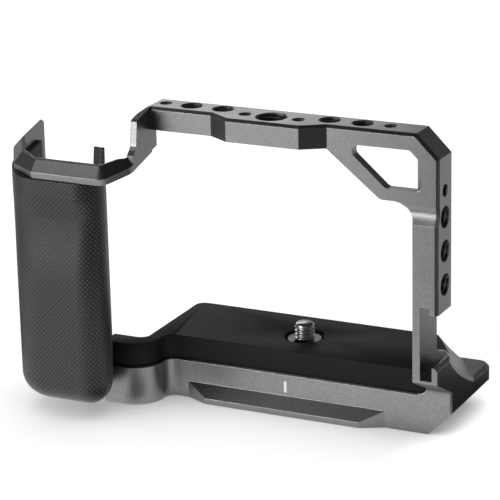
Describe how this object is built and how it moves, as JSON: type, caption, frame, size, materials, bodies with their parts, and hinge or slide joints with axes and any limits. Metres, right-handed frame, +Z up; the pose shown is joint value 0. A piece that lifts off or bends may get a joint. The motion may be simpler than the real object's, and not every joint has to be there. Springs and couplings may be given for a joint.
{
  "type": "camera cage",
  "caption": "Camera cage: top bar with threaded holes, side column, dovetail base with a camera screw, and a silicone side grip.",
  "frame": {"origin": "on the underside of the base, on the axis of the screw that holds the camera", "axes": "+X to the right seen from the front, along the dovetail; +Y to the rear; +Z up"},
  "size_m": [0.1383, 0.0692, 0.098],
  "materials": {
    "black_anodised": "bead-blasted, black anodised, satin",
    "moulded_black": "moulded",
    "silicone": "matt silicone with a fine diamond pattern",
    "black_rubber": "matt rubber",
    "white_enamel": "enamel",
    "stainless": "turned steel",
    "white_nylon": "plain nylon",
    "black_steel": "black oxide"
  },
  "bodies": {
    "cage": {"cage_frame": "black_anodised", "base_plate": "black_anodised", "grip_frame": "black_anodised", "grip_shell": "moulded_black", "grip_sleeve": "silicone", "base_pad": "black_rubber", "top_pad": "black_rubber", "column_pad": "black_rubber", "index_mark": "white_enamel", "camera_screw_washer": "white_nylon", "frame_screws": "black_steel", "arm_screws": "black_steel", "grip_screws": "black_steel", "shell_screws": "black_steel"},
    "clip": {"camera_screw_clip": "stainless"},
    "screw": {"camera_screw": "stainless"},
    "ring": {"camera_screw_ring": "stainless"}
  },
  "joints": [
    {"name": "screw_travel", "type": "slide", "parent": "cage", "child": "clip", "axis": [0, 0, 1], "range_m": [-0.0046, 0]},
    {"name": "screw_turn", "type": "hinge", "parent": "clip", "child": "screw", "pos_m": [0, 0, 0], "axis": [0, 0, 1], "range_deg": [-1303, 0]},
    {"name": "ring_fold", "type": "hinge", "parent": "screw", "child": "ring", "pos_m": [0, 0, 0.0029], "axis": [-1, 0, 0], "range_deg": [0, 180]}
  ],
  "couplings": [
    {"joint": "screw_travel", "follows": "screw_turn", "m_per_rad": 0.00020213}
  ]
}
